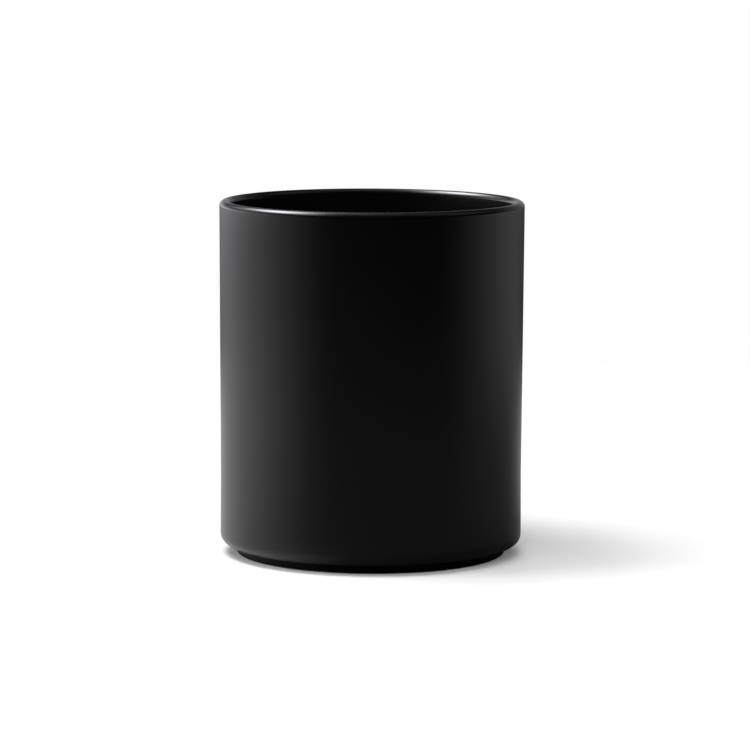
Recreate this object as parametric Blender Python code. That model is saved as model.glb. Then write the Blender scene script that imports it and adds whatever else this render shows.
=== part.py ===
"""An empty candle jar: a stoneware cup on a set-back foot ring, under matte black glaze.

Units are metres, +Z is up, and the jar stands on the origin with its axis on Z. Every
sub-part is round, so each one is an outline of (radius, height) points that is spun
through a full turn. All outlines are offsets of the jar's visible surface: the glaze
lies between that surface and the clay, and a small gap keeps the solids apart.
"""

from math import cos, radians, sin, tau

import bmesh
import bpy

# Driving dimensions of the visible surface. The wall narrows a little from the rim down to
# a faint waist and spreads again to the base.
HEIGHT = 0.0955
RIM_RADIUS = 0.0410
WAIST_RADIUS = 0.0406
WAIST_HEIGHT = 0.0220
BASE_RADIUS = 0.0407
WALL = 0.0030
SHOULDER_ROUND = 0.0030
FOOT_RADIUS = 0.0362
FOOT_HEIGHT = 0.0025
FOOT_WIDTH = 0.0046
FLOOR_THICKNESS = 0.0045
INNER_RADIUS = 0.0376
INNER_CORNER_ROUND = 0.0060

# Thickness of every glaze coat, and the gap between any two sub-parts.
GLAZE = 0.0003
GAP = 0.0003
CLAY_DEPTH = GLAZE + GAP

# Width of the small chamfer round both edges of the clay that the jar rests on.
FOOT_CHAMFER = 0.0004

# Colour and roughness of each finish.
CLAY_LOOK = ((0.42, 0.38, 0.33), 0.85)
MATTE_GLAZE_LOOK = ((0.010, 0.010, 0.011), 0.45)
LINER_GLAZE_LOOK = ((0.008, 0.008, 0.009), 0.35)

RIM_ROUND = WALL / 2
FLOOR_TOP = FOOT_HEIGHT + FLOOR_THICKNESS
FOOT_INNER_RADIUS = FOOT_RADIUS - FOOT_WIDTH

TURN_STEPS = 72
RIM_SEGMENTS = 6
SHOULDER_SEGMENTS = 5
CORNER_SEGMENTS = 4
SHARP_ANGLE = radians(40)
ON_AXIS = 1e-7


def clear_scene():
    for obj in list(bpy.data.objects):
        bpy.data.objects.remove(obj)


def arc(centre, radius, start, end, segments):
    """Points along an arc of the outline, with its angles in degrees from the +X side."""
    points = []
    for step in range(segments + 1):
        angle = radians(start + (end - start) * step / segments)
        points.append((centre[0] + radius * cos(angle), centre[1] + radius * sin(angle)))
    return points


def outside(depth):
    """The outside from the inner end of the rim's round down to the shoulder's lower end,
    at this depth below the visible surface."""
    rim_centre = (RIM_RADIUS - RIM_ROUND, HEIGHT - RIM_ROUND)
    shoulder_centre = (BASE_RADIUS - SHOULDER_ROUND, FOOT_HEIGHT + SHOULDER_ROUND)
    rim = arc(rim_centre, RIM_ROUND - depth, 180, 0, RIM_SEGMENTS)
    shoulder = arc(shoulder_centre, SHOULDER_ROUND - depth, 0, -90, SHOULDER_SEGMENTS)
    return rim + [(WAIST_RADIUS - depth, WAIST_HEIGHT)] + shoulder


def inside(depth, top):
    """The inside from the middle of the floor out to the wall and up to the height top,
    at this depth below the visible surface."""
    corner_centre = (INNER_RADIUS - INNER_CORNER_ROUND, FLOOR_TOP + INNER_CORNER_ROUND)
    corner = arc(corner_centre, INNER_CORNER_ROUND + depth, -90, 0, CORNER_SEGMENTS)
    return [(0.0, FLOOR_TOP - depth)] + corner + [(RIM_RADIUS - WALL + depth, top)]


def foot_side(depth):
    """The step under the shoulder and the outer side of the foot, at this depth below the
    visible surface."""
    return [(FOOT_RADIUS - depth, FOOT_HEIGHT + depth), (FOOT_RADIUS - depth, GAP)]


def turned(name, outline, closed):
    """A solid made by spinning an outline about Z. A closed outline makes a ring, and an
    open one starts and ends on the axis."""
    mesh = bmesh.new()
    corners = [mesh.verts.new((radius, 0.0, height)) for radius, height in outline]
    followers = corners[1:] + corners[:1] if closed else corners[1:]
    edges = [mesh.edges.new(pair) for pair in zip(corners, followers)]
    bmesh.ops.spin(
        mesh, geom=corners + edges, axis=(0, 0, 1), cent=(0, 0, 0),
        angle=tau, steps=TURN_STEPS, use_merge=True,
    )
    bmesh.ops.remove_doubles(mesh, verts=mesh.verts, dist=ON_AXIS)
    bmesh.ops.recalc_face_normals(mesh, faces=mesh.faces)
    data = bpy.data.meshes.new(name)
    mesh.to_mesh(data)
    mesh.free()
    data.shade_smooth()
    data.set_sharp_from_angle(angle=SHARP_ANGLE)
    piece = bpy.data.objects.new(name, data)
    bpy.context.scene.collection.objects.link(piece)
    return piece


def finish(piece, look):
    """Gives the piece its own Principled material."""
    colour, roughness = look
    material = bpy.data.materials.new(piece.name)
    material.use_nodes = True
    shader = material.node_tree.nodes["Principled BSDF"]
    shader.inputs["Base Color"].default_value = (*colour, 1.0)
    shader.inputs["Roughness"].default_value = roughness
    shader.inputs["Metallic"].default_value = 0.0
    piece.data.materials.append(material)


def jar_body():
    """The fired clay cup under both glazes, flat underneath."""
    rim_end = HEIGHT - RIM_ROUND
    outline = inside(CLAY_DEPTH, rim_end)[:-1] + outside(CLAY_DEPTH)
    outline.append((0.0, FOOT_HEIGHT + CLAY_DEPTH))
    return turned("jar_body", outline, closed=False)


def foot_ring():
    """The clay ring that the jar stands on, with a bare flat face on the floor."""
    outer = FOOT_RADIUS - CLAY_DEPTH
    inner = FOOT_INNER_RADIUS + CLAY_DEPTH
    top = FOOT_HEIGHT + GLAZE
    outline = [
        (inner, top),
        (outer, top),
        (outer, FOOT_CHAMFER),
        (outer - FOOT_CHAMFER, 0.0),
        (inner + FOOT_CHAMFER, 0.0),
        (inner, FOOT_CHAMFER),
    ]
    return turned("foot_ring", outline, closed=True)


def outer_glaze():
    """The matte coat over the rim, down the wall and round the shoulder to the foot's side."""
    visible = outside(0.0) + foot_side(0.0)
    backing = outside(GLAZE) + foot_side(GLAZE)
    return turned("outer_glaze", visible + backing[::-1], closed=True)


def liner_glaze():
    """The coat over the floor and the inside of the wall, up to the rim's round."""
    top = HEIGHT - RIM_ROUND - GAP
    outline = inside(0.0, top) + inside(GLAZE, top)[::-1]
    return turned("liner_glaze", outline, closed=False)


def base_glaze():
    """The coat on the underside and on the inner side of the foot ring."""
    backing_radius = FOOT_INNER_RADIUS + GLAZE
    backing_height = FOOT_HEIGHT + GLAZE
    outline = [
        (0.0, backing_height),
        (backing_radius, backing_height),
        (backing_radius, GAP),
        (FOOT_INNER_RADIUS, GAP),
        (FOOT_INNER_RADIUS, FOOT_HEIGHT),
        (0.0, FOOT_HEIGHT),
    ]
    return turned("base_glaze", outline, closed=False)


def build():
    clear_scene()
    finish(jar_body(), CLAY_LOOK)
    finish(foot_ring(), CLAY_LOOK)
    finish(outer_glaze(), MATTE_GLAZE_LOOK)
    finish(liner_glaze(), LINER_GLAZE_LOOK)
    finish(base_glaze(), MATTE_GLAZE_LOOK)


build()
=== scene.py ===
"""The looks of an empty, matte black stoneware candle jar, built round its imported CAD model.

Every visible piece is turned about the Z axis from an outline of (radius, height) points,
in metres. The sizes come from the boxes of the CAD nodes, and the few that a box can't
give are named below.
"""
from math import cos, pi, radians, sin, tau

import bpy
from mathutils import Matrix, Vector


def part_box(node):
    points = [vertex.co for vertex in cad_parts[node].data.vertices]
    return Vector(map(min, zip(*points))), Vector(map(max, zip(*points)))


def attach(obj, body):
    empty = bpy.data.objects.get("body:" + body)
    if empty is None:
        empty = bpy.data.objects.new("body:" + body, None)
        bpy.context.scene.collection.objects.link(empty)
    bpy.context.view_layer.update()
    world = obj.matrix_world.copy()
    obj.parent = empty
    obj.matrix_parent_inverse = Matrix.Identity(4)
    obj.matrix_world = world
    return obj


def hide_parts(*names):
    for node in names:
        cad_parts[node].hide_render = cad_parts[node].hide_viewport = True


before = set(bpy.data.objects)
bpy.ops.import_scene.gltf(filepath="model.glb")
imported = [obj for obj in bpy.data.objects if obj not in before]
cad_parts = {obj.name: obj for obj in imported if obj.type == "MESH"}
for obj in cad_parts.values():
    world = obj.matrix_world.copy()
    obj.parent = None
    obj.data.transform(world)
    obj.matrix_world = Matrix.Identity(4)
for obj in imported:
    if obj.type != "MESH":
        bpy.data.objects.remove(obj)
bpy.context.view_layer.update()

# Sizes that the boxes of the CAD nodes don't give.
GLAZE = 0.0003
CLAY_DEPTH = 0.0006
WALL_LEAN = 0.0003
WAIST_LEAN = 0.0004
WAIST_HEIGHT = 0.0220
INNER_RADIUS = 0.0376
SHOULDER_ROUND = 0.0030
INNER_CORNER_ROUND = 0.0060
FOOT_CHAMFER = 0.0004
GLAZE_POOL = 0.0008

# Sizes from the frame. "high" is a box's highest corner.
glaze_low, glaze_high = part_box("outer_glaze")
liner_low, liner_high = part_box("liner_glaze")
base_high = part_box("base_glaze")[1]
foot_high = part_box("foot_ring")[1]
HEIGHT = glaze_high.z
RIM_RADIUS = glaze_high.x
BASE_RADIUS = RIM_RADIUS - WALL_LEAN
WALL = RIM_RADIUS + GLAZE - liner_high.x
RIM_ROUND = WALL / 2
RIM_START = HEIGHT - RIM_ROUND
FLOOR_TOP = liner_low.z + GLAZE
FOOT_RADIUS = foot_high.x + CLAY_DEPTH
FOOT_HEIGHT = base_high.z - GLAZE
FOOT_INNER_RADIUS = base_high.x - GLAZE
GLAZE_END = glaze_low.z

# Steps round the axis, and segments along the outlines.
TURN_STEPS = 256
RIM_SEGMENTS = 40
SHOULDER_SEGMENTS = 24
CORNER_SEGMENTS = 24
BEAD_SEGMENTS = 8
CHAMFER_SEGMENTS = 6
WALL_SEGMENTS = 12
LOWER_WALL_SEGMENTS = 4
INSIDE_FLOOR_SEGMENTS = 12
INSIDE_WALL_SEGMENTS = 16
SHARP_ANGLE = radians(50)

# The glaze: linear colours, its cloudiness and grain in repeats per metre, and for each
# coat its roughness, its roughness on the rim, how uneven the two are and the height of
# its grain in metres.
GLAZE_DARK = (0.0016, 0.0016, 0.0018, 1.0)
GLAZE_LIGHT = (0.0032, 0.0032, 0.0035, 1.0)
GLAZE_CLOUD_SCALE = 45.0
GLAZE_CLOUD_DETAIL = 4
GLAZE_GRAIN_SCALE = 1900.0
GLAZE_GRAIN_DETAIL = 2
OUTER_FINISH = (0.29, 0.22, 0.03, 0.000004)
LINER_FINISH = (0.27, 0.27, 0.02, 0.000002)
FOOT_FINISH = (0.50, 0.50, 0.05, 0.000008)
FOOT_SHINE = 0.1
RIM_SHEEN_START = RIM_START - 0.0006
RIM_SHEEN_END = RIM_START + 0.0002

# The bare clay.
CLAY_DARK = (0.34, 0.30, 0.25, 1.0)
CLAY_LIGHT = (0.47, 0.43, 0.37, 1.0)
CLAY_SPECK = (0.10, 0.06, 0.04, 1.0)
CLAY_CLOUD_SCALE = 90.0
CLAY_CLOUD_DETAIL = 4
CLAY_GRAIN_SCALE = 2600.0
CLAY_GRAIN_DETAIL = 3
CLAY_GRAIN_RANGE = (0.3, 0.7)
CLAY_GRAIN_HEIGHT = 0.00005
CLAY_ROUGHNESS = (0.78, 0.92)
CLAY_SPECK_SCALE = 420.0
CLAY_SPECK_SIZE = 0.16

# Soft panels that show only in reflections. Each has its azimuth from the camera's side,
# its elevation, its half width and half height in degrees, and its strength.
PANELS = {
    "key": (-118, 52, 45, 22, 21.0),
    "key_front": (-85, 50, 45, 24, 6.0),
    "key_back": (-150, 52, 45, 24, 1.9),
    "middle_left": (-120, 27, 50, 15, 1.6),
    "low_left_back": (-120, 2, 60, 14, 2.12),
    "low_back": (-165, 4, 50, 14, 0.58),
    "low_left": (-75, 0, 45, 16, 0.56),
    "right_back": (150, 15, 60, 25, 0.24),
    "low_right": (110, -4, 60, 14, 0.54),
    "high_right": (90, 50, 60, 30, 0.30),
    "top": (0, 90, 999, 35, 0.47),
}
PANEL_TINT = (0.975, 0.962, 1.0, 1.0)
BACKDROP_COLOUR = (1.0, 1.0, 1.0, 1.0)
BACKDROP_STRENGTH = 0.99

# Lamps that light the sheet and cast the jar's shadow, and don't show in the glaze. Each
# has its azimuth, elevation, distance, radius and the radiance it gives to white paper.
LAMPS = {
    "left_lamp": (-90, 67, 1.2, 0.24, 0.15),
    "left_high_lamp": (-90, 76, 1.2, 0.18, 0.08),
    "left_front_lamp": (-60, 69, 1.2, 0.24, 0.12),
    "left_back_lamp": (-120, 67, 1.2, 0.24, 0.09),
    "left_low_lamp": (-80, 25, 1.2, 0.28, 0.08),
    "front_high_lamp": (-10, 68, 1.2, 0.28, 0.15),
    "front_low_lamp": (0, 30, 1.2, 0.28, 0.12),
    "back_low_lamp": (-180, 30, 1.2, 0.28, 0.075),
}

# The sheet under the jar: a disc that fades out at its edge. Its glow is painted light,
# rising from the first value in the crease under the jar, a painted contact shadow, to the second
# in the open.
SHEET_RADIUS = 0.5
SHEET_STEPS = 96
SHEET_FADE = (0.28, SHEET_RADIUS)
SHEET_COLOUR = (1.0, 1.0, 1.0, 1.0)
SHEET_PAINTED_LIGHT = (0.12, 0.31)
SHEET_CREASE = 0.006

# The sheet as the glaze reflects it, with painted light and shade. Its tone goes from the
# first value to the second as the cosine of the angle from its brightest side goes through
# the turn's range, and it changes from the near ones to the far ones between two distances
# from the axis.
SHEET_AIM = (-0.643, 0.766)
NEAR_TURN = (-0.75, 0.05)
NEAR_PAINTED_TONES = (0.154, 0.99)
FAR_TURN = (-0.35, 0.9)
FAR_PAINTED_TONES = (0.18, 1.0)
NEAR_TO_FAR = (0.052, 0.078)

# The camera: its place in metres, its lens and sensor in millimetres, and its turn, its
# downward tilt and its roll in degrees.
CAMERA_PLACE = (0.0, -1.06972, 0.18410)
CAMERA_LENS = 191.72
CAMERA_SENSOR = 36.0
CAMERA_CLIP = (0.01, 100.0)
CAMERA_TURN = -0.053
CAMERA_TILT = 7.241
CAMERA_ROLL = 0.264


def arc(centre, radius, start, end, segments):
    """Points along an arc of an outline, with its angles in degrees from the +X side."""
    points = []
    for step in range(segments + 1):
        angle = radians(start + (end - start) * step / segments)
        points.append((centre[0] + radius * cos(angle), centre[1] + radius * sin(angle)))
    return points


def line(start, end, segments):
    """Points along a straight stretch, without its two ends."""
    points = []
    for step in range(1, segments):
        share = step / segments
        points.append((
            start[0] + (end[0] - start[0]) * share,
            start[1] + (end[1] - start[1]) * share,
        ))
    return points


def turned(name, outline, closed):
    """A piece turned about Z. A closed outline makes a ring, and an open one starts and
    ends on the axis. The outline runs down its outer side, so the faces point out."""
    rings = outline if closed else outline[1:-1]
    vertices = []
    for radius, height in rings:
        for step in range(TURN_STEPS):
            angle = tau * step / TURN_STEPS
            vertices.append((radius * cos(angle), radius * sin(angle), height))
    faces = []
    last = len(rings) if closed else len(rings) - 1
    for ring in range(last):
        upper = ring * TURN_STEPS
        lower = (ring + 1) % len(rings) * TURN_STEPS
        for step in range(TURN_STEPS):
            after = (step + 1) % TURN_STEPS
            faces.append((upper + step, lower + step, lower + after, upper + after))
    if not closed:
        for pole, ring in ((outline[0], 0), (outline[-1], len(rings) - 1)):
            centre = len(vertices)
            vertices.append((0.0, 0.0, pole[1]))
            start = ring * TURN_STEPS
            for step in range(TURN_STEPS):
                after = (step + 1) % TURN_STEPS
                pair = (start + step, start + after)
                faces.append((centre, *pair) if ring == 0 else (centre, *pair[::-1]))
    mesh = bpy.data.meshes.new(name)
    mesh.from_pydata(vertices, [], faces)
    mesh.validate()
    mesh.shade_smooth()
    mesh.set_sharp_from_angle(angle=SHARP_ANGLE)
    piece = bpy.data.objects.new(name, mesh)
    bpy.context.scene.collection.objects.link(piece)
    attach(piece, "root")
    return piece


def rim(depth):
    """The rim's round from the inside over to the outside, at this depth below the
    glaze's surface."""
    centre = (RIM_RADIUS - RIM_ROUND, RIM_START)
    return arc(centre, RIM_ROUND - depth, 180, 0, RIM_SEGMENTS)


def shoulder(depth):
    """The round from the wall to the flat step above the foot."""
    centre = (BASE_RADIUS - SHOULDER_ROUND, FOOT_HEIGHT + SHOULDER_ROUND)
    return arc(centre, SHOULDER_ROUND - depth, 0, -90, SHOULDER_SEGMENTS)


def outside(depth):
    """From the inner end of the rim's round down to the shoulder's lower end."""
    top = rim(depth)
    bottom = shoulder(depth)
    waist = (RIM_RADIUS - WAIST_LEAN - depth, WAIST_HEIGHT)
    upper_wall = line(top[-1], waist, WALL_SEGMENTS)
    lower_wall = line(waist, bottom[0], LOWER_WALL_SEGMENTS)
    return top + upper_wall + [waist] + lower_wall + bottom


def inside(depth):
    """From the middle of the floor out to the wall and up it to the rim's round."""
    centre = (INNER_RADIUS - INNER_CORNER_ROUND, FLOOR_TOP + INNER_CORNER_ROUND)
    corner = arc(centre, INNER_CORNER_ROUND + depth, -90, 0, CORNER_SEGMENTS)
    middle = (0.0, FLOOR_TOP - depth)
    end = (RIM_RADIUS - WALL + depth, RIM_START)
    flat = line(middle, corner[0], INSIDE_FLOOR_SEGMENTS)
    wall = line(corner[-1], end, INSIDE_WALL_SEGMENTS)
    return [middle] + flat + corner + wall + [end]


def outer_glaze():
    """The coat outside, with a rounded end low on the foot."""
    half = GLAZE / 2
    bead = arc((FOOT_RADIUS - half, GLAZE_END + half), half, 0, -180, BEAD_SEGMENTS)
    visible = outside(0.0) + [(FOOT_RADIUS, FOOT_HEIGHT)] + bead
    backing = outside(GLAZE) + [(FOOT_RADIUS - GLAZE, FOOT_HEIGHT + GLAZE)]
    return turned("outer_glaze_coat", visible + backing[::-1], closed=True)


def liner_glaze():
    """The coat inside."""
    outline = inside(0.0) + inside(GLAZE)[::-1]
    return turned("liner_glaze_coat", outline, closed=False)


def base_glaze():
    """The coat underneath, pooled a little where it meets the foot."""
    half = GLAZE / 2
    backing_radius = FOOT_INNER_RADIUS + GLAZE
    backing_height = FOOT_HEIGHT + GLAZE
    bead = arc((FOOT_INNER_RADIUS + half, GLAZE_END + half), half, 0, -180, BEAD_SEGMENTS)
    pool_centre = (FOOT_INNER_RADIUS - GLAZE_POOL, FOOT_HEIGHT - GLAZE_POOL)
    pool = arc(pool_centre, GLAZE_POOL, 0, 90, BEAD_SEGMENTS)
    outline = [(0.0, backing_height), (backing_radius, backing_height)] + bead
    outline += pool + [(0.0, FOOT_HEIGHT)]
    return turned("base_glaze_coat", outline, closed=False)


def foot_ring():
    """The clay ring, with rounded edges where it rests."""
    outer = FOOT_RADIUS - GLAZE
    inner = FOOT_INNER_RADIUS + GLAZE
    top = FOOT_HEIGHT + GLAZE
    round_out = arc((outer - FOOT_CHAMFER, FOOT_CHAMFER), FOOT_CHAMFER, 0, -90, CHAMFER_SEGMENTS)
    round_in = arc((inner + FOOT_CHAMFER, FOOT_CHAMFER), FOOT_CHAMFER, -90, -180, CHAMFER_SEGMENTS)
    outline = [(inner, top), (outer, top)] + round_out + round_in
    return turned("foot_ring_clay", outline, closed=True)


def jar_body():
    """The clay cup between the coats."""
    outline = inside(GLAZE)[:-1] + outside(GLAZE)
    outline.append((0.0, FOOT_HEIGHT + GLAZE))
    return turned("jar_body_clay", outline, closed=False)


def connect(tree, value, socket):
    """Links a node's output to the socket, or sets the socket to a plain value."""
    if isinstance(value, bpy.types.NodeSocket):
        tree.links.new(value, socket)
    else:
        socket.default_value = value


def add(tree, kind, **inputs):
    """A new shader node with these inputs set or linked. An underscore in a name stands
    for a space."""
    node = tree.nodes.new(kind)
    for name, value in inputs.items():
        connect(tree, value, node.inputs[name.replace("_", " ")])
    return node


def calculate(tree, operation, *values):
    """The result of a Math node."""
    node = tree.nodes.new("ShaderNodeMath")
    node.operation = operation
    for socket, value in zip(node.inputs, values):
        connect(tree, value, socket)
    return node.outputs[0]


def ramp(tree, value, start, end, low=0.0, high=1.0):
    """A smooth step from low at start to high at end."""
    node = tree.nodes.new("ShaderNodeMapRange")
    node.interpolation_type = "SMOOTHSTEP"
    connect(tree, value, node.inputs["Value"])
    connect(tree, start, node.inputs["From Min"])
    connect(tree, end, node.inputs["From Max"])
    connect(tree, low, node.inputs["To Min"])
    connect(tree, high, node.inputs["To Max"])
    return node.outputs[0]


def mix_shaders(tree, factor, first, second):
    """The first shader node where the factor is 0, and the second where it is 1."""
    node = add(tree, "ShaderNodeMixShader", Fac=factor)
    tree.links.new(first.outputs[0], node.inputs[1])
    tree.links.new(second.outputs[0], node.inputs[2])
    return node


def mix_colours(tree, factor, first, second):
    """The first colour where the factor is 0, and the second where it is 1."""
    node = tree.nodes.new("ShaderNodeMix")
    node.data_type = "RGBA"
    connect(tree, factor, node.inputs["Factor"])
    connect(tree, first, node.inputs["A"])
    connect(tree, second, node.inputs["B"])
    return node.outputs["Result"]


def noise(tree, place, scale, detail):
    """Smooth random values, about a half on average."""
    node = add(tree, "ShaderNodeTexNoise", Vector=place, Scale=scale, Detail=detail)
    return node.outputs["Fac"]


def specks(tree, place, scale, size):
    """1 in scattered round specks and 0 between them."""
    cells = add(tree, "ShaderNodeTexVoronoi", Vector=place, Scale=scale)
    return ramp(tree, cells.outputs["Distance"], size, size / 2)


def bump(tree, shader, height, distance):
    """Raises the surface by this distance in metres where the height is 1."""
    node = add(tree, "ShaderNodeBump", Height=height, Distance=distance)
    tree.links.new(node.outputs["Normal"], shader.inputs["Normal"])


def new_material(name):
    """A material with its node tree, its shader and the place on the object."""
    made = bpy.data.materials.new(name)
    made.use_nodes = True
    tree = made.node_tree
    place = tree.nodes.new("ShaderNodeTexCoord").outputs["Object"]
    return made, tree, tree.nodes["Principled BSDF"], place


def clay_look():
    """Bare fired clay: buff, dry and grainy, with small iron specks."""
    made, tree, shader, place = new_material("fired_clay")
    cloud = noise(tree, place, CLAY_CLOUD_SCALE, CLAY_CLOUD_DETAIL)
    grain = noise(tree, place, CLAY_GRAIN_SCALE, CLAY_GRAIN_DETAIL)
    spots = specks(tree, place, CLAY_SPECK_SCALE, CLAY_SPECK_SIZE)
    body = mix_colours(tree, cloud, CLAY_DARK, CLAY_LIGHT)
    colour = mix_colours(tree, spots, body, CLAY_SPECK)
    roughness = ramp(tree, grain, *CLAY_GRAIN_RANGE, *CLAY_ROUGHNESS)
    tree.links.new(colour, shader.inputs["Base Color"])
    tree.links.new(roughness, shader.inputs["Roughness"])
    bump(tree, shader, grain, CLAY_GRAIN_HEIGHT)
    return made


def glaze_look(name, finish):
    """Black glaze with a faint cloudiness, a fine grain and a slightly uneven sheen. It
    may be smoother on the rim, where the glaze runs thin and hands rub it."""
    roughness, rim_roughness, unevenness, grain_height = finish
    made, tree, shader, place = new_material(name)
    cloud = noise(tree, place, GLAZE_CLOUD_SCALE, GLAZE_CLOUD_DETAIL)
    grain = noise(tree, place, GLAZE_GRAIN_SCALE, GLAZE_GRAIN_DETAIL)
    colour = mix_colours(tree, cloud, GLAZE_DARK, GLAZE_LIGHT)
    height = add(tree, "ShaderNodeSeparateXYZ", Vector=place).outputs["Z"]
    even = ramp(tree, height, RIM_SHEEN_START, RIM_SHEEN_END, roughness, rim_roughness)
    # The two add up to about 1 on average, so this is about zero on average.
    uneven = calculate(tree, "ADD", cloud, grain)
    uneven = calculate(tree, "MULTIPLY_ADD", uneven, unevenness, -unevenness)
    tree.links.new(colour, shader.inputs["Base Color"])
    tree.links.new(calculate(tree, "ADD", even, uneven), shader.inputs["Roughness"])
    bump(tree, shader, grain, grain_height)
    return made


def dry_glaze_look():
    """The same glaze on the foot, where the wiped coat is thin, dry and hardly shines."""
    made = glaze_look("dry_foot_glaze", FOOT_FINISH)
    shader = made.node_tree.nodes["Principled BSDF"]
    shader.inputs["Specular IOR Level"].default_value = FOOT_SHINE
    return made


def panel(tree, azimuth, elevation, light):
    """The light of one soft panel, full in its middle and fading to nothing at its edges."""
    towards, height, half_width, half_height, strength = light
    turn = calculate(tree, "WRAP", calculate(tree, "SUBTRACT", azimuth, towards), 180, -180)
    across = ramp(tree, calculate(tree, "ABSOLUTE", turn), half_width, 0)
    rise = calculate(tree, "SUBTRACT", elevation, height)
    up = ramp(tree, calculate(tree, "ABSOLUTE", rise), half_height, 0)
    return calculate(tree, "MULTIPLY", calculate(tree, "MULTIPLY", across, up), strength)


def studio():
    """White to the camera, and in reflections a dark room with soft panels in it."""
    world = bpy.data.worlds.new("studio")
    world.use_nodes = True
    world.cycles_visibility.diffuse = False
    bpy.context.scene.world = world
    tree = world.node_tree
    tree.nodes.clear()
    direction = tree.nodes.new("ShaderNodeTexCoord").outputs["Generated"]
    along = add(tree, "ShaderNodeSeparateXYZ", Vector=direction).outputs
    forward = calculate(tree, "MULTIPLY", along["Y"], -1)
    azimuth = calculate(tree, "DEGREES", calculate(tree, "ARCTAN2", along["X"], forward))
    elevation = calculate(tree, "DEGREES", calculate(tree, "ARCSINE", along["Z"]))
    total = 0.0
    for light in PANELS.values():
        total = calculate(tree, "ADD", total, panel(tree, azimuth, elevation, light))
    room = add(tree, "ShaderNodeBackground", Color=PANEL_TINT, Strength=total)
    backdrop = add(
        tree, "ShaderNodeBackground", Color=BACKDROP_COLOUR, Strength=BACKDROP_STRENGTH,
    )
    to_camera = tree.nodes.new("ShaderNodeLightPath").outputs["Is Camera Ray"]
    surface = mix_shaders(tree, to_camera, room, backdrop)
    output = tree.nodes.new("ShaderNodeOutputWorld")
    tree.links.new(surface.outputs[0], output.inputs["Surface"])


def painted_sheet_tone(tree, place, distance):
    """Painted light and shade on the sheet as the glaze sees it: brightest at the back left and
    close to the jar.
    """
    along = add(tree, "ShaderNodeSeparateXYZ", Vector=place).outputs
    towards = calculate(tree, "MULTIPLY", along["X"], SHEET_AIM[0])
    towards = calculate(tree, "MULTIPLY_ADD", along["Y"], SHEET_AIM[1], towards)
    towards = calculate(tree, "DIVIDE", towards, distance)
    near = ramp(tree, towards, *NEAR_TURN, *NEAR_PAINTED_TONES)
    far = ramp(tree, towards, *FAR_TURN, *FAR_PAINTED_TONES)
    return ramp(tree, distance, *NEAR_TO_FAR, near, far)


def sheet_look():
    """A white sheet. It is bright to the camera and darker in the glaze, with painted light and
    shade where the glaze sees it, and it fades into the white backdrop away from the jar."""
    made, tree, shader, place = new_material("white_sheet")
    tree.nodes.remove(shader)
    away = tree.nodes.new("ShaderNodeVectorMath")
    away.operation = "LENGTH"
    connect(tree, place, away.inputs[0])
    distance = away.outputs["Value"]
    # Painted light and shade: how bright the glaze sees each part of the sheet.
    painted_tone = painted_sheet_tone(tree, place, distance)
    grey = add(tree, "ShaderNodeCombineColor", Red=painted_tone, Green=painted_tone, Blue=painted_tone).outputs[0]
    mirrored = add(tree, "ShaderNodeBsdfDiffuse", Color=grey)
    paper = add(tree, "ShaderNodeBsdfDiffuse", Color=SHEET_COLOUR)
    # Painted light: the sheet glows, and glows less in the crease under the jar, which paints a
    # contact shadow there.
    crease = add(tree, "ShaderNodeAmbientOcclusion", Distance=SHEET_CREASE).outputs["AO"]
    painted_light = add(tree, "ShaderNodeEmission", Strength=ramp(tree, crease, 0, 1, *SHEET_PAINTED_LIGHT))
    seen = tree.nodes.new("ShaderNodeAddShader")
    tree.links.new(paper.outputs[0], seen.inputs[0])
    tree.links.new(painted_light.outputs[0], seen.inputs[1])
    to_camera = tree.nodes.new("ShaderNodeLightPath").outputs["Is Camera Ray"]
    sheet = mix_shaders(tree, to_camera, mirrored, seen)
    clear = tree.nodes.new("ShaderNodeBsdfTransparent")
    surface = mix_shaders(tree, ramp(tree, distance, *SHEET_FADE), sheet, clear)
    tree.links.new(surface.outputs[0], tree.nodes["Material Output"].inputs["Surface"])
    return made


def floor():
    """The round sheet that the jar stands on."""
    points = [(0.0, 0.0, 0.0)]
    faces = []
    for step in range(SHEET_STEPS):
        angle = tau * step / SHEET_STEPS
        points.append((SHEET_RADIUS * cos(angle), SHEET_RADIUS * sin(angle), 0.0))
        faces.append((0, step + 1, (step + 1) % SHEET_STEPS + 1))
    mesh = bpy.data.meshes.new("floor")
    mesh.from_pydata(points, [], faces)
    mesh.materials.append(sheet_look())
    made = bpy.data.objects.new("floor", mesh)
    bpy.context.scene.collection.objects.link(made)


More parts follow.
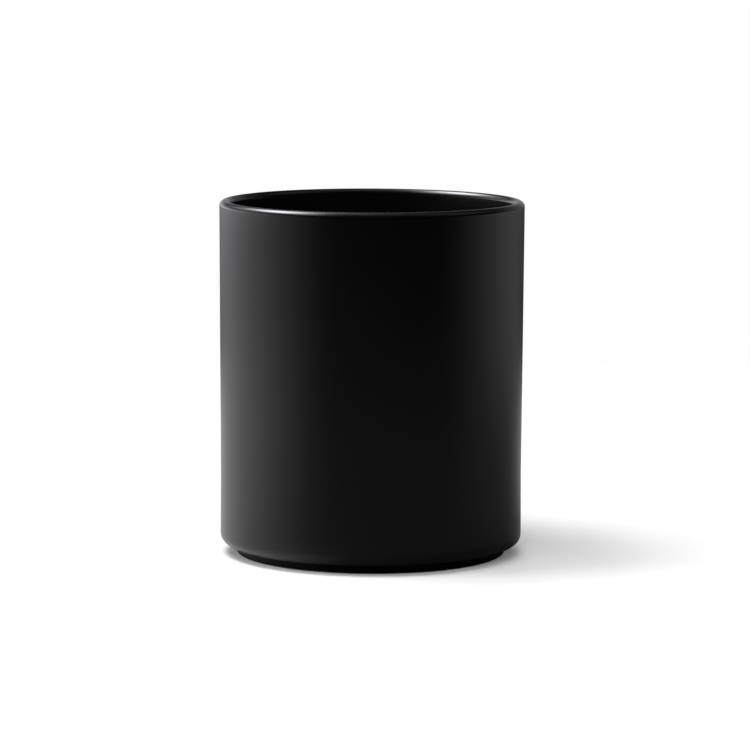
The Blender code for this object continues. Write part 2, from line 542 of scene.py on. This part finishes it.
def lamp(name, settings):
    """A round lamp that faces the jar and doesn't show in its glaze."""
    azimuth, elevation, distance, radius, brightness = settings
    across = distance * cos(radians(elevation))
    place = Vector((
        across * sin(radians(azimuth)),
        -across * cos(radians(azimuth)),
        distance * sin(radians(elevation)),
    ))
    # What a disc gives to the sheet goes with its radiance, with the square of the sine of
    # its half angle and with the sine of its elevation.
    cone = (radius / distance) ** 2
    radiance = brightness * (1 + cone) / cone / sin(radians(elevation))
    data = bpy.data.lights.new(name, "AREA")
    data.shape = "DISK"
    data.size = 2 * radius
    data.energy = radiance * pi * pi * radius ** 2
    made = bpy.data.objects.new(name, data)
    made.location = place
    made.rotation_euler = (-place).to_track_quat("-Z", "Y").to_euler()
    made.visible_camera = False
    made.visible_glossy = False
    bpy.context.scene.collection.objects.link(made)


def camera():
    """The camera stands in front of the jar and looks a little down at it."""
    data = bpy.data.cameras.new("camera")
    data.lens = CAMERA_LENS
    data.sensor_width = CAMERA_SENSOR
    data.clip_start, data.clip_end = CAMERA_CLIP
    made = bpy.data.objects.new("camera", data)
    bpy.context.scene.collection.objects.link(made)
    turn = Matrix.Rotation(radians(CAMERA_TURN), 4, "Z")
    tilt = Matrix.Rotation(radians(90 - CAMERA_TILT), 4, "X")
    roll = Matrix.Rotation(radians(CAMERA_ROLL), 4, "Z")
    made.matrix_world = Matrix.Translation(CAMERA_PLACE) @ turn @ tilt @ roll
    bpy.context.scene.camera = made


def dry_foot(piece, look):
    """Puts this look on the faces of the step and of the foot."""
    piece.data.materials.append(look)
    for face in piece.data.polygons:
        if face.center.z < FOOT_HEIGHT + GLAZE / 10:
            face.material_index = 1


def jar():
    """Builds each piece in place of its CAD node."""
    glaze = glaze_look("matte_black_glaze", OUTER_FINISH)
    liner = glaze_look("black_liner_glaze", LINER_FINISH)
    dry = dry_glaze_look()
    clay = clay_look()
    for make, node, slot, look in (
        (outer_glaze, "outer_glaze", "matte_glaze", glaze),
        (liner_glaze, "liner_glaze", "liner_glaze", liner),
        (base_glaze, "base_glaze", "matte_glaze", dry),
        (foot_ring, "foot_ring", "stoneware", clay),
        (jar_body, "jar_body", "stoneware", clay),
    ):
        piece = make()
        piece.data.materials.append(look)
        if make is outer_glaze:
            dry_foot(piece, dry)
        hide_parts(node)


jar()
floor()
camera()
studio()
for name, settings in LAMPS.items():
    lamp(name, settings)
bpy.context.scene.view_settings.view_transform = "Standard"
